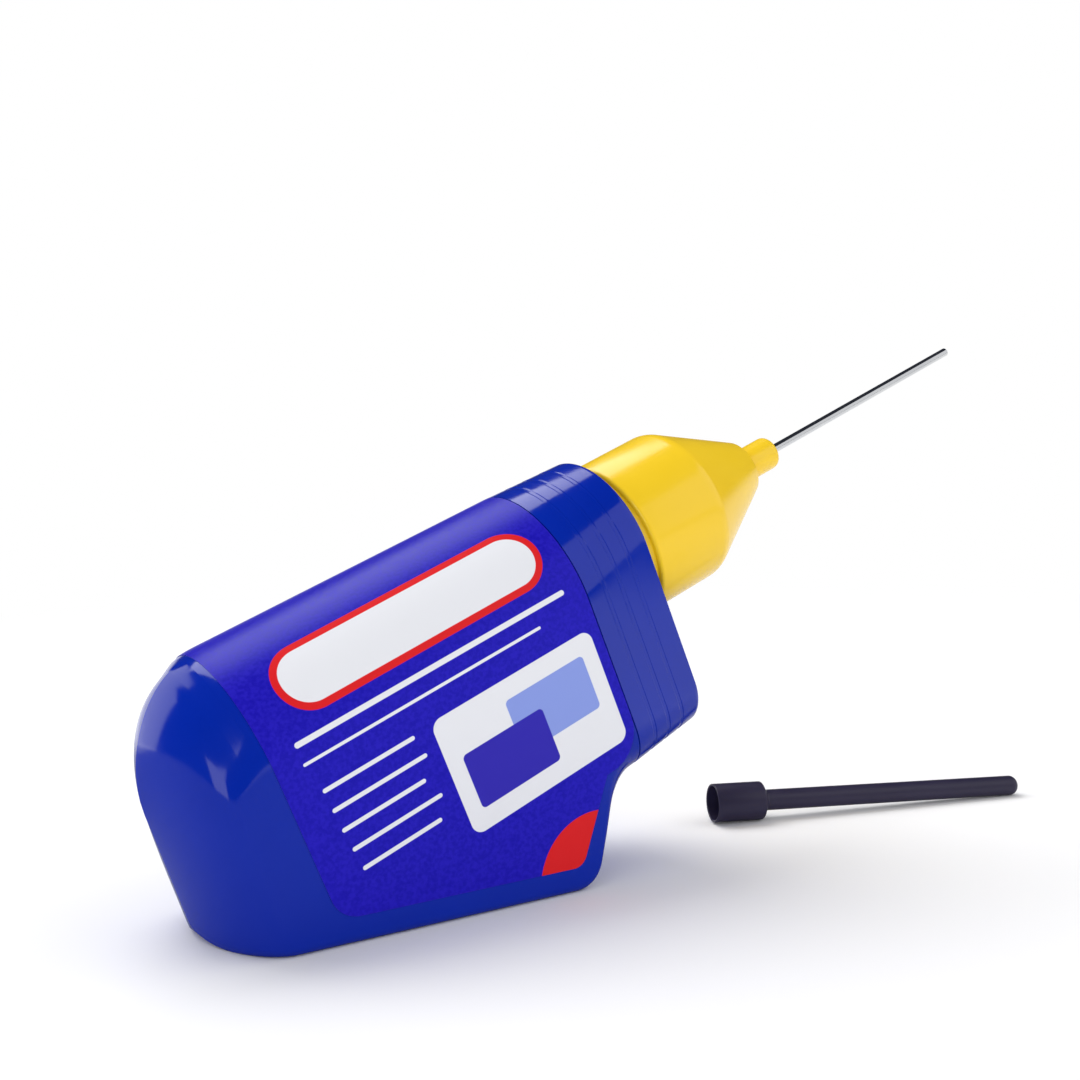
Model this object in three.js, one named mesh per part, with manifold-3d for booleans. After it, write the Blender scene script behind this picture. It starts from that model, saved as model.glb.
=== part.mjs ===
import * as THREE from 'three';
import { mergeVertices } from 'three/addons/utils/BufferGeometryUtils.js';
import Module from 'manifold-3d';

// Flat squeeze bottle for liquid cement with a needle nozzle, standing on its slanted base, and the needle's cover
// lying beside it. Lengths are in millimetres. The neck frame has its origin on the collar's top face, on the neck
// axis, with +Z out of the mouth, +X towards the base and Y across the thickness.

// Side outline of the bottle in the neck frame, as distances from the neck axis and drops below the collar's top
const collarFront = 21.0;
const collarBack = 10.35;
const collarHeight = 10.07;
const collarRim = 0.7;
const notchDrop = 14.06;
const notchRadius = 6.23;
const toeReach = 28.8;
const toeDrop = 20.9;
const toeRadius = 3.23;
const heelReach = 14.39;
const heelRadius = 2.4;
const bottleHeight = 57.73;
const backTop = 10.65;
const backHeel = 11.24;
const heelBackRadius = 11.9;
const heelRise = 1.24;

// Thickness of the bottle and the rounding of its edges
const capRadius = 9.0;
const bodyHalf = 11.03;
const collarCorner = 4.58;
const bodyCorner = 5.5;
const baseCorner = 1.0;
const heelRounding = 5.94;
const wall = 1.0;
const collarPlate = 1.4;

// Fine grooves round the collar
const grooveFirst = 3.1;
const groovePitch = 2.25;
const grooveCount = 3;
const grooveWidth = 0.6;
const grooveFloor = 0.2;
const grooveDepth = 0.15;

// Label film and the bare margin round it
const filmThickness = 0.15;
const filmGap = 0.15;
const labelMargin = 2.7;
const labelHeel = 47.2;
const labelTopCorner = 4.2;
const labelCorner = 1.6;
const labelTopGap = 0.12;

// Neck of the bottle, under the nozzle cap
const neckWall = 1.5;
const neckHeight = 10.2;
const beadHeight = 0.8;
const beadDrop = 3.4;
const beadReach = 0.25;

// Nozzle cap
const capWall = 1.2;
const capClearance = 0.4;
const seatGap = 0.25;
const footHeight = 1.0;
const footInset = 0.6;
const capEdge = 0.3;
const shoulderLevel = 12.9;
const shoulderRadius = 7.86;
const shoulderRounding = 3.0;
const coneTop = 21.4;
const coneTopRadius = 3.32;
const coneWall = 1.5;
const stubRadius = 1.98;
const stubEnd = 26.5;
const stubRounding = 0.8;
const plugLength = 3.0;
const plugWall = 1.0;
const plugClearance = 0.2;

// Needle
const needleRadius = 0.52;
const needleBore = 0.32;
const needleTip = 58.6;
const needleFit = 0.04;

// Needle cover and where it lies on the floor
const coverLength = 40.3;
const coverTip = 1.0;
const socketRadius = 2.28;
const socketLength = 6.1;
const socketFit = 0.05;
const socketEnd = 0.7;
const socketSeat = 0.4;
const stemRadius = 1.24;
const stemTipRadius = 1.2;
const coverBore = 0.72;
const coverTipClearance = 0.6;
const coverPlace = new THREE.Vector2(44.7, 1.3);
const coverTurn = -0.325;

// Cement filling
const cementLevel = 27.0;
const cementGap = 0.3;

// Fineness of the curves
const backSteps = 16;
const flankSteps = 3;
const cornerSteps = 3;
const filletSteps = 6;
const largeFilletSteps = 8;
const roundSteps = 36;
const needleSteps = 16;
const coverSteps = 24;
const lastRingShare = 0.94;
const leastLevelStep = 0.14;
const tidyDistance = 1e-4;

const wasm = await Module();
wasm.setup();

// The base runs straight from the heel to the toe, and its slant gives the neck its lean
const lean = Math.atan2(toeReach - heelReach, bottleHeight - toeDrop);
const turn = Math.PI / 2 - lean;
const neckRise = heelReach * Math.cos(lean) + bottleHeight * Math.sin(lean);
const heelRun = heelReach * Math.sin(lean) - bottleHeight * Math.cos(lean);
const toeRun = toeReach * Math.sin(lean) - toeDrop * Math.cos(lean);
const neckPlace = new THREE.Vector3(-(heelRun + toeRun) / 2, 0, neckRise);

const labelProud = filmGap + filmThickness;
const neckRadius = capRadius - capWall - capClearance;
const mouthRadius = neckRadius - neckWall;
const heelSlope = heelRise / (heelReach + backHeel);

// Closed solid from a mesh, with equal vertices joined and empty triangles dropped
function solidOf(geometry) {
  const bare = new THREE.BufferGeometry();
  bare.setAttribute('position', geometry.getAttribute('position'));
  bare.setIndex(geometry.getIndex());
  const joined = mergeVertices(bare, tidyDistance);
  const corners = joined.getIndex().array;
  const kept = [];
  for (let i = 0; i < corners.length; i += 3) {
    const [a, b, c] = [corners[i], corners[i + 1], corners[i + 2]];
    if (a !== b && b !== c && c !== a) kept.push(a, b, c);
  }
  const vertProperties = Float32Array.from(joined.getAttribute('position').array);
  return new wasm.Manifold(new wasm.Mesh({ numProp: 3, vertProperties, triVerts: Uint32Array.from(kept) }));
}

function geometryOf(solid) {
  const mesh = solid.getMesh();
  const geometry = new THREE.BufferGeometry();
  geometry.setAttribute('position', new THREE.BufferAttribute(mesh.vertProperties, 3));
  geometry.setIndex(new THREE.BufferAttribute(mesh.triVerts, 1));
  geometry.computeVertexNormals();
  return geometry;
}

// Turned piece about the Z axis from a profile of [radius, level] points
function turned(profile, steps) {
  const points = profile.map(([radius, level]) => new THREE.Vector2(radius, level));
  return new THREE.LatheGeometry(points, steps).rotateX(Math.PI / 2);
}

// Points along the rounding of one corner
function rounded(before, corner, after, radius, steps) {
  const back = before.clone().sub(corner).normalize();
  const on = after.clone().sub(corner).normalize();
  const half = Math.acos(back.dot(on)) / 2;
  const reach = radius / Math.tan(half);
  const start = corner.clone().addScaledVector(back, reach);
  const end = corner.clone().addScaledVector(on, reach);
  const centre = corner.clone().addScaledVector(back.clone().add(on).normalize(), radius / Math.sin(half));
  const from = start.sub(centre).angle();
  const swing = end.sub(centre).angle() - from;
  const sweep = Math.atan2(Math.sin(swing), Math.cos(swing));
  const points = [];
  for (let i = 0; i <= steps; i += 1) {
    const angle = from + sweep * i / steps;
    points.push(new THREE.Vector2(Math.cos(angle), Math.sin(angle)).multiplyScalar(radius).add(centre));
  }
  return points;
}

// Corners of the side outline, clockwise from the collar's back, set in by a distance all round
function outlineCorners(inset) {
  const corners = [
    new THREE.Vector2(-collarBack, 0),
    new THREE.Vector2(collarFront, 0),
    new THREE.Vector2(collarFront, -notchDrop),
    new THREE.Vector2(toeReach, -toeDrop),
    new THREE.Vector2(heelReach, -bottleHeight),
    new THREE.Vector2(-backHeel, -bottleHeight),
    new THREE.Vector2(-backTop, -collarHeight),
  ];
  const inward = corners.map((corner, i) => {
    const along = corners[(i + 1) % corners.length].clone().sub(corner).normalize();
    return new THREE.Vector2(along.y, -along.x);
  });
  return corners.map((corner, i) => {
    const a = inward[(i + corners.length - 1) % corners.length];
    const b = inward[i];
    return corner.clone().addScaledVector(a.clone().add(b), inset / (1 + a.dot(b)));
  });
}

// Front and back edges of the outline, each from the collar's top down to the heel
function outlineEdges(inset) {
  const [backUp, frontUp, notch, toe, heel, heelBack, backMid] = outlineCorners(inset);
  const rim = Math.max(collarRim - inset, tidyDistance);
  const front = [
    ...rounded(backUp, frontUp, notch, rim, cornerSteps),
    ...rounded(frontUp, notch, toe, notchRadius + inset, filletSteps),
    ...rounded(notch, toe, heel, Math.max(toeRadius - inset, tidyDistance), filletSteps),
    ...rounded(toe, heel, heelBack, Math.max(heelRadius - inset, tidyDistance), cornerSteps),
  ];
  const back = [
    ...rounded(frontUp, backUp, backMid, rim, cornerSteps),
    backMid,
    ...rounded(backMid, heelBack, heel, heelBackRadius - inset, largeFilletSteps),
  ];
  return { front, back };
}

function edgeAt(edge, level) {
  for (let i = 1; i < edge.length; i += 1) {
    if (edge[i].y <= level) {
      const part = (edge[i - 1].y - level) / (edge[i - 1].y - edge[i].y);
      return THREE.MathUtils.lerp(edge[i - 1].x, edge[i].x, THREE.MathUtils.clamp(part, 0, 1));
    }
  }
  return edge[edge.length - 1].x;
}

function grooveAt(level) {
  for (let i = 0; i < grooveCount; i += 1) {
    const away = Math.abs(level + grooveFirst + i * groovePitch);
    if (away < grooveFloor) return grooveDepth;
  }
  return 0;
}

// One section of the bottle across the neck axis, as a ring of points
function sectionRing(edges, level, inset, step) {
  const set = inset + step;
  const drop = -level;
  const collarPart = THREE.MathUtils.clamp(drop / collarHeight, 0, 1);
  const half = THREE.MathUtils.lerp(capRadius, bodyHalf, collarPart) - set;
  const toePart = THREE.MathUtils.clamp((drop - collarHeight) / (toeDrop - collarHeight), 0, 1);
  const outerCorner = drop < collarHeight
    ? THREE.MathUtils.lerp(collarCorner, bodyCorner, collarPart)
    : THREE.MathUtils.lerp(bodyCorner, baseCorner, toePart);
  const corner = Math.max(outerCorner - inset, baseCorner / 2);
  const front = edgeAt(edges.front, level) - (drop < collarHeight ? step : 0);
  const back = edgeAt(edges.back, level) + step;
  const rounding = heelRounding - inset;
  const above = Math.max(level + bottleHeight - inset, 0);
  const closing = Math.min(above / rounding, 1) - 1;
  const squeeze = Math.sqrt(1 - closing * closing);
  const reach = Math.min(half, front - corner - back - corner / 2);
  const middle = back + reach;
  const side = [];
  for (let i = 0; i <= cornerSteps; i += 1) {
    const angle = Math.PI / 2 * i / cornerSteps;
    side.push([front - corner + corner * Math.cos(angle), half - corner + corner * Math.sin(angle)]);
  }
  for (let i = 1; i < flankSteps; i += 1) {
    side.push([THREE.MathUtils.lerp(front - corner, middle, i / flankSteps), half]);
  }
  for (let i = 0; i < backSteps / 2; i += 1) {
    const angle = Math.PI / 2 + Math.PI * i / backSteps;
    side.push([middle + reach * Math.cos(angle), half * Math.sin(angle)]);
  }
  const other = side.map(([x, y]) => [x, -y]).reverse();
  const heelPart = THREE.MathUtils.clamp((drop - labelHeel) / (bottleHeight - labelHeel), 0, 1);
  return [...side, [back, 0], ...other].map(([x, y]) => {
    const lift = Math.max(heelReach - x, 0) * heelSlope * heelPart;
    return new THREE.Vector3(x, y * squeeze, level + lift);
  });
}

// Closed body through a stack of rings, listed from the top down
function loft(rings) {
  const count = rings[0].length;
  const middles = [rings[0], rings[rings.length - 1]].map((ring) => (
    ring.reduce((sum, point) => sum.add(point), new THREE.Vector3()).divideScalar(count)
  ));
  const points = [...rings.flat(), ...middles];
  const faces = [];
  for (let r = 0; r + 1 < rings.length; r += 1) {
    for (let i = 0; i < count; i += 1) {
      const j = (i + 1) % count;
      const [a, b, c, d] = [r * count + i, r * count + j, (r + 1) * count + i, (r + 1) * count + j];
      faces.push(a, c, b, b, c, d);
    }
  }
  const top = rings.length * count;
  const low = (rings.length - 1) * count;
  for (let i = 0; i < count; i += 1) {
    const j = (i + 1) % count;
    faces.push(top, i, j, top + 1, low + j, low + i);
  }
  const geometry = new THREE.BufferGeometry();
  geometry.setAttribute('position', new THREE.Float32BufferAttribute(points.flatMap((p) => p.toArray()), 3));
  geometry.setIndex(faces);
  return geometry;
}

// Levels where the outline bends, from a top level down to the heel, and close to each other only at the heel
function outlineLevels(edges, inset, top, extra) {
  const lowest = -bottleHeight + inset;
  const heel = [];
  for (let i = 1; i <= largeFilletSteps; i += 1) {
    const close = 1 - Math.sin(Math.PI / 2 * lastRingShare * i / largeFilletSteps);
    heel.push(lowest + (heelRounding - inset) * close);
  }
  const bends = [...edges.front, ...edges.back].map((point) => point.y);
  const least = heel[heel.length - 1];
  const sorted = [...bends, ...heel, ...extra].filter((y) => y < top && y > least).sort((a, b) => b - a);
  const levels = [top];
  for (const level of [...sorted, least]) {
    if (levels[levels.length - 1] - level > leastLevelStep || extra.includes(level)) levels.push(level);
  }
  levels.push(least);
  return levels.filter((level, i) => i === 0 || level < levels[i - 1] - tidyDistance);
}

function outerShell(grow, withSteps) {
  const edges = outlineEdges(0);
  const extra = [];
  for (let i = 0; withSteps && i < grooveCount; i += 1) {
    const middle = -grooveFirst - i * groovePitch;
    extra.push(middle + grooveWidth / 2, middle + grooveFloor / 2, middle - grooveFloor / 2);
    extra.push(middle - grooveWidth / 2);
  }
  if (withSteps) extra.push(-collarHeight, -collarHeight - labelTopGap);
  const rings = outlineLevels(edges, 0, 0, extra).map((level) => {
    const below = level < -collarHeight - tidyDistance;
    const sunk = withSteps ? grooveAt(level) + (below ? labelProud : 0) : -grow;
    return sectionRing(edges, level, 0, sunk);
  });
  return loft(rings);
}

function innerSpace(inset) {
  const edges = outlineEdges(inset);
  const top = -collarPlate - inset + wall;
  const rings = outlineLevels(edges, inset, top, [-collarHeight]).map((level) => (
    sectionRing(edges, level, inset, labelProud)
  ));
  return loft(rings);
}

function bottleGeometry() {
  const bead = neckHeight - beadDrop;
  const neck = turned([
    [0, -collarPlate / 2],
    [neckRadius, -collarPlate / 2],
    [neckRadius, bead - beadHeight],
    [neckRadius + beadReach, bead - beadHeight / 2],
    [neckRadius, bead],
    [neckRadius, neckHeight],
    [0, neckHeight],
  ], roundSteps);
  const mouth = turned([
    [0, -collarPlate * 2],
    [mouthRadius, -collarPlate * 2],
    [mouthRadius, neckHeight * 2],
    [0, neckHeight * 2],
  ], roundSteps);
  const outside = solidOf(outerShell(0, true)).add(solidOf(neck));
  return geometryOf(outside.subtract(solidOf(innerSpace(wall))).subtract(solidOf(mouth)));
}

// Label film: a thin skin over the flanks and the back, cut to its outline
function labelGeometry() {
  const [, , notch, toe, heel] = outlineCorners(labelMargin);
  const away = -toeReach;
  const labelTop = -collarHeight - labelTopGap;
  const heelCorner = heel.clone().lerp(toe, (-labelHeel - heel.y) / (toe.y - heel.y));
  const topCorner = new THREE.Vector2(notch.x, labelTop);
  const topEnd = new THREE.Vector2(away, labelTop);
  const heelEnd = new THREE.Vector2(away, -labelHeel);
  const outline = new THREE.Shape([
    topEnd,
    ...rounded(topEnd, topCorner, notch, labelTopCorner, filletSteps),
    notch,
    ...rounded(notch, toe, heelCorner, labelCorner, cornerSteps),
    ...rounded(toe, heelCorner, heelEnd, labelCorner, cornerSteps),
    heelEnd,
  ]);
  const across = bodyHalf * 4;
  const prism = new THREE.ExtrudeGeometry(outline, { depth: across, bevelEnabled: false });
  prism.rotateX(Math.PI / 2).translate(0, across / 2, 0);
  const skin = solidOf(outerShell(0, false)).subtract(solidOf(outerShell(-filmThickness, false)));
  return geometryOf(skin.intersect(solidOf(prism)));
}

function nozzleGeometry() {
  const inside = neckRadius + capClearance;
  const coneSlope = (shoulderRadius - coneTopRadius) / (coneTop - shoulderLevel);
  const roof = neckHeight + seatGap;
  const plugRadius = mouthRadius - plugClearance;
  const channel = plugRadius - plugWall;
  const coneInside = (level) => shoulderRadius - coneSlope * (level - shoulderLevel) - coneWall;
  const channelTop = shoulderLevel + (shoulderRadius - coneWall - channel) / coneSlope;
  const floorOfStub = coneTop - capWall;
  const hole = needleRadius + needleFit;
  const shoulder = rounded(
    new THREE.Vector2(capRadius, footHeight),
    new THREE.Vector2(capRadius, shoulderLevel - (capRadius - shoulderRadius) / coneSlope),
    new THREE.Vector2(shoulderRadius, shoulderLevel),
    shoulderRounding,
    filletSteps,
  ).map((point) => [point.x, point.y]);
  const stubEdge = rounded(
    new THREE.Vector2(stubRadius, coneTop),
    new THREE.Vector2(stubRadius, stubEnd),
    new THREE.Vector2(hole, stubEnd),
    stubRounding,
    cornerSteps,
  ).map((point) => [point.x, point.y]);
  return turned([
    [inside, seatGap],
    [capRadius - footInset, seatGap],
    [capRadius - footInset, footHeight],
    [capRadius - capEdge, footHeight],
    [capRadius, footHeight + capEdge],
    ...shoulder,
    [coneTopRadius + coneSlope * capEdge, coneTop - capEdge],
    [coneTopRadius - capEdge, coneTop],
    [stubRadius, coneTop],
    ...stubEdge,
    [hole, stubEnd],
    [hole, floorOfStub],
    [coneInside(floorOfStub), floorOfStub],
    [channel, channelTop],
    [channel, roof - plugLength],
    [plugRadius, roof - plugLength],
    [plugRadius, roof],
    [inside, roof],
    [inside, seatGap],
  ], roundSteps);
}

function needleGeometry() {
  const start = coneTop - capWall;
  return turned([
    [needleBore, start],
    [needleRadius, start],
    [needleRadius, needleTip],
    [needleBore, needleTip],
    [needleBore, start],
  ], needleSteps);
}

function coverGeometry() {
  const socketBore = stubRadius + socketFit;
  const socketDepth = socketLength - socketEnd;
  const boreDepth = needleTip - stubEnd + socketDepth + coverTipClearance;
  const tip = rounded(
    new THREE.Vector2(stemTipRadius, 0),
    new THREE.Vector2(stemTipRadius, coverLength),
    new THREE.Vector2(0, coverLength),
    coverTip,
    filletSteps,
  ).map((point) => [point.x, point.y]);
  return turned([
    [0, boreDepth],
    [coverBore, boreDepth],
    [coverBore, socketDepth + socketSeat],
    [socketBore, socketDepth],
    [socketBore, 0],
    [socketRadius, 0],
    [socketRadius, socketLength],
    [stemRadius, socketLength + (socketRadius - stemRadius) / 2],
    ...tip,
    [0, coverLength],
  ], coverSteps);
}

// Cement up to a level free surface
function cementGeometry() {
  const across = bottleHeight * 4;
  const below = new THREE.Vector3(0, 0, cementLevel - across / 2).sub(neckPlace);
  below.applyAxisAngle(new THREE.Vector3(0, 1, 0), -turn);
  const half = new THREE.BoxGeometry(across, across, across).rotateY(-turn).translate(...below.toArray());
  return geometryOf(solidOf(innerSpace(wall + cementGap)).intersect(solidOf(half)));
}

function piece(name, geometry, color, roughness, metalness) {
  const mesh = new THREE.Mesh(geometry, new THREE.MeshStandardMaterial({ color, roughness, metalness }));
  mesh.name = name;
  return mesh;
}

const part = new THREE.Group();
part.name = 'cement_bottle';

const neckFrame = new THREE.Group();
neckFrame.name = 'neck_frame';
neckFrame.position.copy(neckPlace);
neckFrame.rotation.y = turn;
neckFrame.add(piece('bottle', bottleGeometry(), 0x0028a5, 0.25, 0));
neckFrame.add(piece('label', labelGeometry(), 0x160cb2, 0.4, 0));
neckFrame.add(piece('cement', cementGeometry(), 0xe8e2c8, 0.1, 0));
neckFrame.add(piece('nozzle_cap', nozzleGeometry(), 0xf2c81e, 0.4, 0));
neckFrame.add(piece('needle', needleGeometry(), 0xc8cacc, 0.2, 1));
part.add(neckFrame);

// The cover rests on its socket's edge and on its tip
const coverFrame = new THREE.Group();
coverFrame.name = 'cover_frame';
const coverTilt = Math.atan2(socketRadius - stemTipRadius, coverLength - coverTip - socketLength);
const coverRise = socketLength * Math.sin(coverTilt) + socketRadius * Math.cos(coverTilt);
coverFrame.position.set(coverPlace.x, coverPlace.y, coverRise);
coverFrame.rotation.set(0, Math.PI / 2 + coverTilt, coverTurn, 'ZYX');
coverFrame.add(piece('needle_cover', coverGeometry(), 0x2d2842, 0.35, 0));
part.add(coverFrame);

export default part;
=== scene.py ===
import math

import bpy
from mathutils import Matrix, Vector


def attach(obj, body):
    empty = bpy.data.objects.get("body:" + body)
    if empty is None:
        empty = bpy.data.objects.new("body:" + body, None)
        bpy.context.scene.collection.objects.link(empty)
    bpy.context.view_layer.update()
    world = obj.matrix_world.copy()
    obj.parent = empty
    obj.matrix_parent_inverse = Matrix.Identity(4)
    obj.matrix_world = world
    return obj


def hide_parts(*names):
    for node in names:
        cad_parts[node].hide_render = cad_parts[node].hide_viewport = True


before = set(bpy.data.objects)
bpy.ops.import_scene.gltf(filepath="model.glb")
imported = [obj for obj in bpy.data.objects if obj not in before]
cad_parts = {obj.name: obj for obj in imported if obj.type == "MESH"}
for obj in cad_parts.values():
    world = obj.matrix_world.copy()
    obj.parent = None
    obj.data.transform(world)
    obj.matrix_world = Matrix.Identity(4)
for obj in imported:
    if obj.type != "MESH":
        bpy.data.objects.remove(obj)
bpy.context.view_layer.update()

MM = 0.001

# Side outline of the bottle in its neck frame, in millimetres
COLLAR_FRONT = 21.0
COLLAR_BACK = 10.35
COLLAR_HEIGHT = 10.07
COLLAR_RIM = 0.7
NOTCH = (21.0, -14.06)
NOTCH_RADIUS = 6.23
TOE = (28.8, -20.9)
TOE_RADIUS = 3.23
HEEL = (14.39, -57.73)
HEEL_RADIUS = 2.4
BACK_TOP = 10.65
BACK_HEEL = 11.24
HEEL_BACK_RADIUS = 11.9
HEEL_RISE = 1.24
CAP_RADIUS = 9.0
BODY_HALF = 11.03
COLLAR_CORNER = 4.58
BODY_CORNER = 5.5
BASE_CORNER = 1.0
HEEL_ROUNDING = 5.94
WALL = 1.0
COLLAR_PLATE = 1.4
FILM = 0.06
SEAM = 0.18
SEAM_RUN = 3.0
LABEL_DROP = 47.2
LABEL_GAP = 0.12

# Where the neck frame sits: the base lies flat on the floor
LEAN = math.atan2(TOE[0] - HEEL[0], TOE[1] - HEEL[1])
RISE = HEEL[0] * math.cos(LEAN) - HEEL[1] * math.sin(LEAN)
HEEL_RUN = HEEL[0] * math.sin(LEAN) + HEEL[1] * math.cos(LEAN)
TOE_RUN = TOE[0] * math.sin(LEAN) + TOE[1] * math.cos(LEAN)
NECK = (
    Matrix.Translation(Vector((-(HEEL_RUN + TOE_RUN) / 2, 0, RISE)) * MM)
    @ Matrix.Rotation(math.pi / 2 - LEAN, 4, "Y")
    @ Matrix.Diagonal((MM, MM, MM, 1))
)


def lerp(a, b, t):
    return a + (b - a) * t


def clamp(value, low=0.0, high=1.0):
    return max(low, min(high, value))


def smooth(value):
    t = clamp(value)
    return t * t * (3 - 2 * t)


def deselect():
    if bpy.context.object and bpy.context.object.mode != "OBJECT":
        bpy.ops.object.mode_set(mode="OBJECT")
    bpy.ops.object.select_all(action="DESELECT")


def round_corner(before, corner, after, radius, steps):
    """Points along the rounding of one corner."""
    corner = Vector(corner)
    back = (Vector(before) - corner).normalized()
    on = (Vector(after) - corner).normalized()
    half = math.acos(clamp(back.dot(on), -1, 1)) / 2
    start = corner + back * radius / math.tan(half)
    end = corner + on * radius / math.tan(half)
    centre = corner + (back + on).normalized() * radius / math.sin(half)
    first = math.atan2(start.y - centre.y, start.x - centre.x)
    swing = math.atan2(end.y - centre.y, end.x - centre.x) - first
    sweep = math.atan2(math.sin(swing), math.cos(swing))
    angles = [first + sweep * i / steps for i in range(steps + 1)]
    return [(centre.x + radius * math.cos(a), centre.y + radius * math.sin(a)) for a in angles]


def inset_corners(corners, inset):
    """Corners of a clockwise outline, set in by a distance all round."""
    normals = []
    for i, corner in enumerate(corners):
        along = (Vector(corners[(i + 1) % len(corners)]) - Vector(corner)).normalized()
        normals.append(Vector((along.y, -along.x)))
    moved = []
    for i, corner in enumerate(corners):
        a, b = normals[i - 1], normals[i]
        moved.append(tuple(Vector(corner) + (a + b) * inset / (1 + a.dot(b))))
    return moved


OUTLINE = [
    (-COLLAR_BACK, 0.0),
    (COLLAR_FRONT, 0.0),
    NOTCH,
    TOE,
    HEEL,
    (-BACK_HEEL, HEEL[1]),
    (-BACK_TOP, -COLLAR_HEIGHT),
]


def outline_edges(inset):
    """Front and back edges of the bottle, each from the collar's top down to the heel."""
    back_up, front_up, notch, toe, heel, heel_back, back_mid = inset_corners(OUTLINE, inset)
    rim = max(COLLAR_RIM - inset, 0.01)
    front = (
        round_corner(back_up, front_up, notch, rim, 10)
        + round_corner(front_up, notch, toe, NOTCH_RADIUS + inset, 14)
        + round_corner(notch, toe, heel, max(TOE_RADIUS - inset, 0.01), 14)
        + round_corner(toe, heel, heel_back, max(HEEL_RADIUS - inset, 0.01), 12)
    )
    back = (
        round_corner(front_up, back_up, back_mid, rim, 10)
        + [back_mid]
        + round_corner(back_mid, heel_back, heel, HEEL_BACK_RADIUS - inset, 24)
    )
    return front, back


def edge_at(edge, level):
    for (x0, z0), (x1, z1) in zip(edge, edge[1:]):
        if z1 <= level:
            return lerp(x0, x1, clamp((z0 - level) / max(z0 - z1, 1e-9)))
    return edge[-1][0]


def arch(share, crease):
    """Depth of a rounded edge below its crest, with a crease of the mould's parting along it."""
    return (1 - crease) * (1 - math.sqrt(max(1 - share * share, 0))) + crease * share


CORNER_STEPS = 12
FLANK_STEPS = 14
BACK_STEPS = 30


def section(edges, level, inset, sunk, squeeze):
    """One section of the bottle across the neck axis."""
    drop = -level
    collar = clamp(drop / COLLAR_HEIGHT)
    half = lerp(CAP_RADIUS, BODY_HALF, collar) - inset - sunk
    if drop < COLLAR_HEIGHT:
        corner = lerp(COLLAR_CORNER, BODY_CORNER, collar)
    else:
        corner = lerp(BODY_CORNER, BASE_CORNER, smooth((drop - COLLAR_HEIGHT) / (-TOE[1] - COLLAR_HEIGHT)))
    corner = max(corner - inset, BASE_CORNER / 2)
    front = edge_at(edges[0], level) - (sunk if drop < COLLAR_HEIGHT else 0)
    back = edge_at(edges[1], level) + sunk
    reach = min(half, front - corner * 1.5 - back)
    crease = SEAM * smooth((drop - LABEL_DROP) / SEAM_RUN)
    side = []
    for i in range(CORNER_STEPS + 1):
        a = math.pi / 2 * i / CORNER_STEPS
        side.append((front - corner + corner * math.cos(a), half - corner + corner * math.sin(a)))
    for i in range(1, FLANK_STEPS):
        side.append((lerp(front - corner, back + reach, i / FLANK_STEPS), half))
    for i in range(BACK_STEPS):
        share = math.cos(math.pi / 2 * i / BACK_STEPS)
        side.append((back + reach * arch(share, crease), half * share))
    lift = smooth((drop - LABEL_DROP) / (-HEEL[1] - LABEL_DROP))
    slope = HEEL_RISE / (HEEL[0] + BACK_HEEL)
    ring = [(front, 0.0)] + side + [(back, 0.0)] + [(x, -y) for x, y in reversed(side)]
    return [(x, y * squeeze, level + max(HEEL[0] - x, 0) * slope * lift) for x, y in ring]


def heel_levels(inset, steps):
    """Levels and squeezes that round the heel end off across the thickness, from the end up."""
    rows = []
    for i in range(steps):
        share = math.sin(math.pi / 2 * (i + 0.02) / steps)
        rows.append((HEEL[1] + inset + (HEEL_ROUNDING - inset) * arch(share, SEAM), share))
    return rows


GROOVES = (3.1, 5.35, 7.6)
GROOVE_HALF = 0.3
GROOVE_WALL = 0.1
GROOVE_DEPTH = 0.045
GROOVE_STEPS = (0.0, 0.16, 0.19, 0.22, 0.25, 0.28, 0.31, 0.34, 0.38)
GAP_DEPTH = 0.2
LABEL_TOP = -COLLAR_HEIGHT - LABEL_GAP


def groove(level):
    """Depth of the fine grooves round the collar and of the gap above the label."""
    depths = [smooth((GROOVE_HALF - abs(-level - middle)) / GROOVE_WALL) for middle in GROOVES]
    in_gap = LABEL_TOP + 0.01 < level < -COLLAR_HEIGHT - 0.01
    return GROOVE_DEPTH * sum(depths) + (GAP_DEPTH if in_gap else 0)


def straight_levels(edges, top, fine):
    levels = {round(z, 3) for edge in edges for _, z in edge}
    for middle in GROOVES if fine else ():
        for away in GROOVE_STEPS:
            levels |= {round(-middle - away, 3), round(-middle + away, 3)}
    levels |= {-COLLAR_HEIGHT, -COLLAR_HEIGHT - 0.02, LABEL_TOP + 0.02, LABEL_TOP}
    levels |= {round(-1.6 * i, 3) for i in range(8, 33)}
    kept = []
    for z in sorted(z for z in levels if HEEL[1] + HEEL_ROUNDING < z <= top):
        if not kept or z - kept[-1] > 0.015:
            kept.append(z)
    return kept


def shell_rings(inset, top, fine):
    edges = outline_edges(inset)
    rows = heel_levels(inset, 22) + [(z, 1.0) for z in straight_levels(edges, top, fine)]
    rings = []
    for level, squeeze in rows:
        below = level < -COLLAR_HEIGHT - 0.01
        sunk = (groove(level) if fine else 0) + (FILM if below else 0)
        rings.append(section(edges, level, inset, sunk, squeeze))
    return rings


def skin(name, rows, place):
    """A grid laid over rows of points, each row as long as the first."""
    deselect()
    across, along = len(rows[0]) - 1, len(rows) - 1
    bpy.ops.mesh.primitive_grid_add(x_subdivisions=across, y_subdivisions=along, size=1)
    piece = bpy.context.object
    piece.name = name
    points = [point for row in rows for point in row]
    for vertex, point in zip(piece.data.vertices, points, strict=True):
        vertex.co = place @ Vector(point)
    piece.data.update()
    return piece


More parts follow.
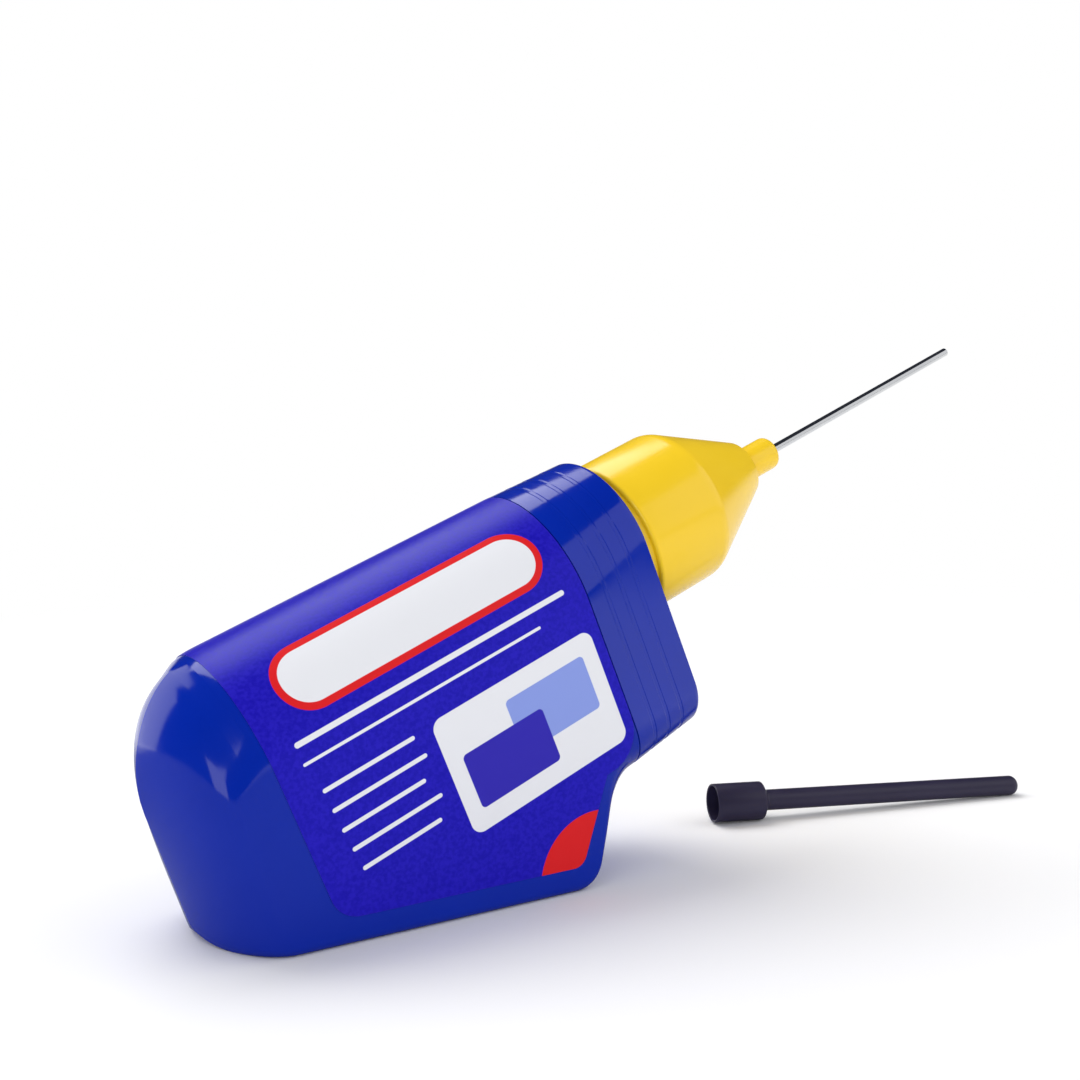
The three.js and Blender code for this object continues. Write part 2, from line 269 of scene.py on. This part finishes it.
def loft(name, rings, place):
    """Closed skin through a stack of rings: a grid welded along its seam, with its ends filled."""
    piece = skin(name, [ring + ring[:1] for ring in rings], place)
    bpy.ops.object.mode_set(mode="EDIT")
    bpy.ops.mesh.select_all(action="SELECT")
    bpy.ops.mesh.remove_doubles(threshold=1e-6)
    bpy.ops.mesh.fill_holes(sides=0)
    bpy.ops.mesh.normals_make_consistent(inside=False)
    bpy.ops.object.mode_set(mode="OBJECT")
    return piece


def shade(piece, degrees):
    deselect()
    piece.select_set(True)
    bpy.context.view_layer.objects.active = piece
    bpy.ops.object.shade_smooth_by_angle(angle=math.radians(degrees))


def turned(name, profile, place, steps=96):
    """Turned piece: a profile of (radius, level) points spun about the Z axis of its frame."""
    deselect()
    bpy.ops.mesh.primitive_circle_add(vertices=len(profile), radius=1)
    piece = bpy.context.object
    piece.name = name
    for vertex, (radius, level) in zip(piece.data.vertices, profile):
        vertex.co = (radius, 0, level)
    bpy.ops.object.mode_set(mode="EDIT")
    bpy.ops.mesh.select_all(action="SELECT")
    bpy.ops.mesh.spin(steps=steps, angle=2 * math.pi, center=(0, 0, 0), axis=(0, 0, 1))
    bpy.ops.mesh.select_all(action="SELECT")
    bpy.ops.mesh.remove_doubles(threshold=1e-4)
    bpy.ops.mesh.dissolve_degenerate(threshold=1e-5)
    bpy.ops.mesh.normals_make_consistent(inside=False)
    bpy.ops.object.mode_set(mode="OBJECT")
    piece.data.transform(place)
    piece.data.update()
    return piece


# Bottle: outer skin, collar's top, neck, mouth and inner skin in one run of rings
NECK_RADIUS = 7.4
MOUTH_RADIUS = 5.9
NECK_HEIGHT = 10.2


def neck_ring(base, radius, level):
    ring = []
    for x, y, _ in base:
        angle = math.atan2(y, x)
        ring.append((radius * math.cos(angle), radius * math.sin(angle), level))
    return ring


outer = shell_rings(0.0, 0.0, True)
inner = shell_rings(WALL, -COLLAR_PLATE, False)
neck_rows = [(NECK_RADIUS + 0.3, 0.0), (NECK_RADIUS, 0.3)]
bead_low, bead_high = 6.0, 6.8
neck_rows += [(NECK_RADIUS, bead_low), (NECK_RADIUS + 0.25, (bead_low + bead_high) / 2), (NECK_RADIUS, bead_high)]
neck_rows += [(NECK_RADIUS, NECK_HEIGHT - 0.3), (NECK_RADIUS - 0.3, NECK_HEIGHT)]
neck_rows += [(MOUTH_RADIUS + 0.2, NECK_HEIGHT), (MOUTH_RADIUS, NECK_HEIGHT - 0.2), (MOUTH_RADIUS, -COLLAR_PLATE)]
collar_top = section(outline_edges(0.0), 0.0, 0.0, 0.3, 1.0)
neck = [neck_ring(collar_top, r, z) for r, z in neck_rows]
rings = outer + [collar_top] + neck + list(reversed(inner))
bottle = loft("bottle_body", rings, NECK)
shade(bottle, 14)

# Label: one film from flank to flank over the back, cut to its outline
LABEL_MARGIN = 2.7
LABEL_HEEL = -LABEL_DROP


def label_edge():
    corners = inset_corners(OUTLINE, LABEL_MARGIN)
    notch, toe, heel = corners[2], corners[3], corners[4]
    share = (LABEL_HEEL - heel[1]) / (toe[1] - heel[1])
    heel_corner = (lerp(heel[0], toe[0], share), LABEL_HEEL)
    top_corner = (notch[0], LABEL_TOP)
    return (
        round_corner((0, LABEL_TOP), top_corner, notch, 4.2, 14)
        + [notch]
        + round_corner(notch, toe, heel_corner, 1.6, 10)
        + round_corner(toe, heel_corner, (0, LABEL_HEEL), 3.2, 12)
    )


def label_piece():
    edge = label_edge()
    levels = sorted({round(z, 4) for _, z in edge} | {round(-1.0 * i, 4) for i in range(12, 47)}, reverse=True)
    edges = outline_edges(0.0)
    flank_steps, back_steps = 30, 48
    rows, marks = [], []
    for level in levels:
        reach = edge_at(edge, level)
        middle = edge_at(edges[1], level) + BODY_HALF
        points = [(lerp(reach, middle, i / flank_steps), -BODY_HALF) for i in range(flank_steps)]
        flat = [x for x, _ in points]
        for i in range(back_steps + 1):
            a = math.pi * i / back_steps
            points.append((middle - BODY_HALF * math.sin(a), -BODY_HALF * math.cos(a)))
            flat.append(middle - BODY_HALF * a)
        for i in range(1, flank_steps + 1):
            x = lerp(middle, reach, i / flank_steps)
            points.append((x, BODY_HALF))
            flat.append(middle - BODY_HALF * math.pi - (x - middle))
        rows.append([(x, y, level) for x, y in points])
        marks += [(u, level) for u in flat]
    piece = skin("label_film", rows, NECK)
    unrolled = piece.data.uv_layers.active
    unrolled.name = "print"
    for corner in piece.data.loops:
        unrolled.data[corner.index].uv = marks[corner.vertex_index]
    return piece


label = label_piece()
deselect()
label.select_set(True)
bpy.context.view_layer.objects.active = label
solid = label.modifiers.new("film", "SOLIDIFY")
solid.thickness = FILM * 0.8 * MM
solid.offset = -1
bpy.ops.object.modifier_apply(modifier="film")
shade(label, 40)

# Nozzle cap
CONE_TOP = 21.4
CONE_TOP_RADIUS = 3.32
SHOULDER = (7.86, 12.9)
STUB_RADIUS = 1.98
STUB_END = 26.5
NEEDLE_RADIUS = 0.52
NEEDLE_TIP = 58.6
FOOT = 1.0
slope = (SHOULDER[0] - CONE_TOP_RADIUS) / (CONE_TOP - SHOULDER[1])
inside = CAP_RADIUS - 1.2
crest = (CAP_RADIUS, SHOULDER[1] - (CAP_RADIUS - SHOULDER[0]) / slope)
channel = MOUTH_RADIUS - 1.2
stub_floor = CONE_TOP - 1.2
profile = [(inside, 0.25), (CAP_RADIUS - 0.6, 0.25), (CAP_RADIUS - 0.6, FOOT)]
profile += round_corner((inside, FOOT), (CAP_RADIUS, FOOT), (CAP_RADIUS, 8), 0.35, 5)
profile += round_corner((CAP_RADIUS, FOOT), crest, SHOULDER, 3.0, 14)
profile += round_corner(SHOULDER, (CONE_TOP_RADIUS, CONE_TOP), (0, CONE_TOP), 0.45, 6)
profile += round_corner((CONE_TOP_RADIUS, CONE_TOP), (STUB_RADIUS, CONE_TOP), (STUB_RADIUS, STUB_END), 0.35, 5)
profile += round_corner((STUB_RADIUS, CONE_TOP), (STUB_RADIUS, STUB_END), (0, STUB_END), 0.75, 9)
profile += [(NEEDLE_RADIUS + 0.03, STUB_END), (NEEDLE_RADIUS + 0.03, stub_floor)]
profile += [(SHOULDER[0] - slope * (stub_floor - SHOULDER[1]) - 1.5, stub_floor)]
profile += [(channel, SHOULDER[1] + (SHOULDER[0] - 1.5 - channel) / slope), (channel, 7.45)]
profile += [(MOUTH_RADIUS - 0.2, 7.45), (MOUTH_RADIUS - 0.2, 10.45), (inside, 10.45)]
nozzle = turned("nozzle", profile, NECK, 128)
shade(nozzle, 30)

# Needle: a drawn tube with a ground end
needle_profile = [(0.32, stub_floor), (NEEDLE_RADIUS, stub_floor)]
needle_profile += round_corner((NEEDLE_RADIUS, 30), (NEEDLE_RADIUS, NEEDLE_TIP), (0.32, NEEDLE_TIP), 0.06, 3)
needle_profile += [(0.32, NEEDLE_TIP)]
needle = turned("steel_needle", needle_profile, NECK, 48)
shade(needle, 30)

# Needle cover, resting on its socket's edge and on its tip
COVER_LENGTH = 40.3
COVER_TIP = 1.0
SOCKET_RADIUS = 2.28
SOCKET_LENGTH = 6.1
SOCKET_BORE = 2.03
SOCKET_DEPTH = 5.4
STEM_RADIUS = 1.24
TIP_RADIUS = 1.2
STEM_BORE = 0.72
BORE_DEPTH = 38.1
tilt = math.atan2(SOCKET_RADIUS - TIP_RADIUS, COVER_LENGTH - COVER_TIP - SOCKET_LENGTH)
cover_rise = SOCKET_LENGTH * math.sin(tilt) + SOCKET_RADIUS * math.cos(tilt)
COVER = (
    Matrix.Translation(Vector((44.7, 1.3, cover_rise)) * MM)
    @ Matrix.Rotation(-0.325, 4, "Z")
    @ Matrix.Rotation(math.pi / 2 + tilt, 4, "Y")
    @ Matrix.Diagonal((MM, MM, MM, 1))
)
step_end = SOCKET_LENGTH + (SOCKET_RADIUS - STEM_RADIUS) / 2
cover_profile = [(0, BORE_DEPTH), (STEM_BORE, BORE_DEPTH), (STEM_BORE, SOCKET_DEPTH + 0.4)]
cover_profile += [(SOCKET_BORE, SOCKET_DEPTH), (SOCKET_BORE, 0.08)]
cover_profile += round_corner((SOCKET_BORE, 0), (SOCKET_RADIUS, 0), (SOCKET_RADIUS, SOCKET_LENGTH), 0.1, 4)
socket_end = (SOCKET_RADIUS, SOCKET_LENGTH)
stem_start = (STEM_RADIUS, step_end)
stem_end = (TIP_RADIUS, COVER_LENGTH)
cover_profile += round_corner((SOCKET_RADIUS, 0), socket_end, stem_start, 0.25, 4)
cover_profile += round_corner(socket_end, stem_start, stem_end, 0.4, 4)
cover_profile += round_corner(stem_start, stem_end, (0, COVER_LENGTH), COVER_TIP, 10)
cover_profile += [(0, COVER_LENGTH)]
cover = turned("cover", cover_profile, COVER, 64)
shade(cover, 30)


class Wire:
    """A shader value that can be reckoned with like a number."""

    def __init__(self, tree, socket):
        self.tree = tree
        self.socket = socket

    def node(self, kind, outlet=0, inputs=None, **settings):
        made = self.tree.nodes.new(kind)
        for key, value in settings.items():
            setattr(made, key, value)
        for key, value in (inputs or {}).items():
            if isinstance(value, Wire):
                self.tree.links.new(value.socket, made.inputs[key])
            else:
                made.inputs[key].default_value = value
        return Wire(self.tree, made.outputs[outlet])

    def math(self, operation, *others):
        inputs = {0: self}
        inputs.update({i + 1: other for i, other in enumerate(others)})
        return self.node("ShaderNodeMath", inputs=inputs, operation=operation)

    def __add__(self, other):
        return self.math("ADD", other)

    def __sub__(self, other):
        return self.math("SUBTRACT", other)

    def __rsub__(self, other):
        return self.node("ShaderNodeMath", inputs={0: other, 1: self}, operation="SUBTRACT")

    def __mul__(self, other):
        return self.math("MULTIPLY", other)

    __radd__ = __add__
    __rmul__ = __mul__

    def __abs__(self):
        return self.math("ABSOLUTE")

    def at_least(self, other):
        return self.math("MAXIMUM", other)

    def at_most(self, other):
        return self.math("MINIMUM", other)

    def ramp(self, low, high, start=0.0, end=1.0):
        inputs = {"Value": self, "From Min": low, "From Max": high, "To Min": start, "To Max": end}
        return self.node("ShaderNodeMapRange", inputs=inputs, interpolation_type="SMOOTHSTEP")

    def mix(self, first, second):
        return self.node("ShaderNodeMix", 2, {0: self, 6: first, 7: second}, data_type="RGBA")


def material(name):
    """A new material with its principled shader, and a wire into its tree."""
    made = bpy.data.materials.new(name)
    made.use_nodes = True
    tree = made.node_tree
    bsdf = next(n for n in tree.nodes if n.type == "BSDF_PRINCIPLED")
    coordinates = tree.nodes.new("ShaderNodeTexCoord")
    return made, bsdf, Wire(tree, coordinates.outputs["Object"])


def noise(place, scale, detail=3.0, outlet="Fac"):
    return place.node("ShaderNodeTexNoise", outlet, {"Vector": place, "Scale": scale, "Detail": detail})


def plug(wire, bsdf, name):
    wire.tree.links.new(wire.socket, bsdf.inputs[name])


def bump(height, bsdf, strength, distance):
    made = height.node("ShaderNodeBump", inputs={"Height": height, "Strength": strength, "Distance": distance})
    plug(made, bsdf, "Normal")


def dress(piece, made, body, nodes):
    piece.data.materials.clear()
    piece.data.materials.append(made)
    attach(piece, body)
    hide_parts(*nodes)


def plastic(name, colour, shade_colour, rough, spread, grain, depth, gloss):
    made, bsdf, place = material(name)
    cloud = noise(place, 60.0)
    plug(cloud.ramp(0.3, 0.7).mix((*shade_colour, 1), (*colour, 1)), bsdf, "Base Color")
    plug(noise(place, 240.0).ramp(0.25, 0.75, rough - spread, rough + spread), bsdf, "Roughness")
    bump(noise(place, grain), bsdf, 0.25, depth)
    bsdf.inputs["Specular IOR Level"].default_value = gloss
    return made


blue = plastic("blue_plastic", (0.0, 0.019, 0.36), (0.0, 0.017, 0.33), 0.12, 0.02, 900.0, 0.000003, 0.42)
yellow = plastic("yellow_plastic", (0.95, 0.63, 0.014), (0.92, 0.6, 0.013), 0.22, 0.03, 1500.0, 0.000015, 0.55)
navy = plastic("navy_plastic", (0.027, 0.022, 0.055), (0.023, 0.019, 0.047), 0.36, 0.05, 1300.0, 0.00003, 0.4)


def steel():
    made, bsdf, place = material("polished_steel")
    streak = noise(place, 150.0)
    plug(streak.ramp(0.3, 0.7, 0.03, 0.06), bsdf, "Roughness")
    plug(streak.ramp(0.3, 0.7).mix((0.6, 0.61, 0.63, 1), (0.66, 0.67, 0.68, 1)), bsdf, "Base Color")
    bsdf.inputs["Metallic"].default_value = 1.0
    return made


BACK_LINE = -17.2
RULES = [
    ((-1.6, -28.5), (0.28, 16.0)),
    ((0.4, -30.5), (0.16, 14.0)),
    ((3.6, -38.6), (0.22, 5.2)),
    ((5.8, -38.3), (0.22, 5.4)),
    ((8.0, -38.8), (0.22, 4.8)),
    ((10.2, -38.2), (0.22, 5.2)),
    ((12.4, -38.6), (0.22, 4.6)),
]


def print_film():
    """Violet-blue film with a plain pattern: a capsule band, rules, a panel with joined plates and a red corner."""
    made, bsdf, place = material("label_print")
    mapped = place.node("ShaderNodeUVMap", uv_map="print")
    split = mapped.node("ShaderNodeSeparateXYZ", inputs={0: mapped})
    across = abs(split - BACK_LINE) + BACK_LINE
    along = Wire(split.tree, split.socket.node.outputs[1])

    def box(middle, half, radius):
        dx = abs(across - middle[0]) - (half[0] - radius)
        dz = abs(along - middle[1]) - (half[1] - radius)
        outside = (dx.at_least(0.0).math("POWER", 2.0) + dz.at_least(0.0).math("POWER", 2.0)).math("SQRT")
        return outside + dx.at_least(dz).at_most(0.0) - radius

    def fill(distance):
        return distance.ramp(-0.04, 0.04, 1.0, 0.0)

    grain = noise(place, 2600.0, 2.0)
    colour = grain.ramp(0.3, 0.7).mix((0.007, 0.003, 0.40, 1), (0.013, 0.006, 0.48, 1))
    white = (0.8, 0.81, 0.84, 1)
    red = (0.72, 0.012, 0.015, 1)
    band = box((-7.0, -28.0), (3.6, 15.5), 3.6)
    colour = fill(band).mix(colour, red)
    colour = fill(band + 0.75).mix(colour, white)
    for middle, half in RULES:
        colour = fill(box(middle, half, half[0])).mix(colour, white)
    panel = box((9.6, -21.4), (6.4, 10.0), 1.2)
    colour = fill(panel).mix(colour, white)
    pale = (0.25, 0.33, 0.75, 1)
    deep = (0.03, 0.02, 0.42, 1)
    colour = fill(box((8.3, -18.2), (3.0, 5.0), 0.5)).mix(colour, pale)
    colour = fill(box((10.9, -24.6), (3.0, 5.0), 0.5)).mix(colour, deep)
    corner = ((across - 27.5).math("POWER", 2.0) + (along + 20.5).math("POWER", 2.0)).math("SQRT") - 7.0
    colour = fill(corner).mix(colour, red)
    plug(colour, bsdf, "Base Color")
    plug(grain.ramp(0.3, 0.7, 0.3, 0.42), bsdf, "Roughness")
    bump(noise(place, 1500.0), bsdf, 0.2, 0.00002)
    bsdf.inputs["Specular IOR Level"].default_value = 0.16
    return made


dress(bottle, blue, "bottle", ["bottle"])
dress(label, print_film(), "bottle", ["label"])
dress(nozzle, yellow, "nozzle", ["nozzle_cap"])
dress(needle, steel(), "nozzle", ["needle"])
dress(cover, navy, "needle_cover", ["needle_cover"])


def liquid():
    made, bsdf, place = material("cement_liquid")
    plug(noise(place, 80.0).ramp(0.3, 0.7).mix((0.75, 0.7, 0.5, 1), (0.8, 0.76, 0.58, 1)), bsdf, "Base Color")
    plug(noise(place, 200.0).ramp(0.3, 0.7, 0.05, 0.12), bsdf, "Roughness")
    return made


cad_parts["cement"].data.materials.clear()
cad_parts["cement"].data.materials.append(liquid())

# Floor
deselect()
bpy.ops.mesh.primitive_plane_add(size=6)
floor = bpy.context.object
floor.name = "floor"
floor_made, floor_bsdf, floor_place = material("white_floor")
floor_bsdf.inputs["Roughness"].default_value = 0.9
floor_bsdf.inputs["Specular IOR Level"].default_value = 0.0
paths = floor_made.node_tree.nodes.new("ShaderNodeLightPath")
looked, crossed, gleamed = (
    Wire(floor_made.node_tree, paths.outputs[name])
    for name in ("Is Camera Ray", "Is Transmission Ray", "Is Glossy Ray")
)
floor_right = floor_place.node("ShaderNodeSeparateXYZ", "X", {0: floor_place})
floor_back = Wire(floor_made.node_tree, floor_right.socket.node.outputs["Y"])
floor_ahead = floor_right * 0.53 + floor_back * 0.85
pale_side = floor_ahead.ramp(0.05, 0.13).at_least(floor_right.ramp(0.03, 0.12))
shown = (looked + crossed + gleamed * pale_side).at_most(1.0)
span = floor_place.node("ShaderNodeVectorMath", "Value", {0: floor_place}, operation="LENGTH").ramp(0.1, 0.28)
reach = span * shown
dimmed = gleamed * (1 - pale_side)
plug(dimmed.mix((0.9, 0.9, 0.9, 1), (0.3, 0.3, 0.32, 1)), floor_bsdf, "Base Color")
bright = floor_place.node("ShaderNodeEmission", inputs={"Color": (1, 1, 1, 1)})
floor_out = next(n for n in floor_made.node_tree.nodes if n.type == "OUTPUT_MATERIAL")
both = floor_place.node("ShaderNodeMixShader", inputs={0: reach, 2: bright})
floor_made.node_tree.links.new(floor_bsdf.outputs[0], both.socket.node.inputs[1])
floor_made.node_tree.links.new(both.socket, floor_out.inputs["Surface"])
floor.data.materials.append(floor_made)

# World: white to the camera, soft fill for the rest, dark in reflections
world = bpy.data.worlds.new("studio")
bpy.context.scene.world = world
world.use_nodes = True
tree = world.node_tree
background = next(n for n in tree.nodes if n.type == "BACKGROUND")
seen = Wire(tree, tree.nodes.new("ShaderNodeLightPath").outputs["Is Camera Ray"])
through = Wire(tree, seen.socket.node.outputs["Is Transmission Ray"])
mirrored = Wire(tree, seen.socket.node.outputs["Is Glossy Ray"])
direction = Wire(tree, tree.nodes.new("ShaderNodeTexCoord").outputs["Generated"])
toward = seen.node("ShaderNodeSeparateXYZ", inputs={0: direction})
sideways = Wire(tree, toward.socket.node.outputs["X"])
behind = Wire(tree, toward.socket.node.outputs["Y"])
above = Wire(tree, toward.socket.node.outputs["Z"])
sweep = (sideways * 0.53 + behind * 0.85).ramp(0.25, 0.5) * (1 - above.ramp(0.04, 0.2))
backdrop = sweep.mix((0.03, 0.033, 0.045, 1), (1.0, 1.0, 1.0, 1))
light = mirrored.mix((0.6, 0.6, 0.62, 1), backdrop)
tree.links.new((seen + through).at_most(1.0).mix(light, (1.0, 1.0, 1.0, 1)).socket, background.inputs["Color"])


def softbox(name, place, target, size, power, colour=(1, 1, 1)):
    light = bpy.data.lights.new(name, "AREA")
    light.shape = "RECTANGLE"
    light.size, light.size_y = size
    light.energy = power
    light.color = colour
    made = bpy.data.objects.new(name, light)
    made.location = place
    made.rotation_euler = (Vector(target) - Vector(place)).to_track_quat("-Z", "Y").to_euler()
    bpy.context.collection.objects.link(made)
    return made


MIDDLE = (0.01, 0, 0.025)
softbox("top", (-0.06, 0.36, 0.66), MIDDLE, (0.6, 0.5), 3.3)
softbox("left_front", (-0.46, -0.4, 0.12), MIDDLE, (0.44, 0.34), 0.9)
softbox("right_front", (0.5, -0.42, 0.34), MIDDLE, (0.8, 0.6), 1.3)
softbox("back_left", (-0.42, 0.5, 0.24), MIDDLE, (0.4, 0.5), 1.1)

# Camera
camera_data = bpy.data.cameras.new("camera")
camera_data.lens = 50.5
camera_data.sensor_width = 36
camera = bpy.data.objects.new("camera", camera_data)
right = Vector((0.8452, -0.5335, -0.0302))
up = Vector((0.0692, 0.0532, 0.9961))
ahead = Vector((0.5299, 0.8441, -0.0819))
turn = Matrix((right, up, -ahead)).transposed().to_4x4()
camera.matrix_world = Matrix.Translation((-0.06637, -0.1387, 0.0492)) @ turn
bpy.context.collection.objects.link(camera)
bpy.context.scene.camera = camera

bpy.context.scene.view_settings.view_transform = "Standard"
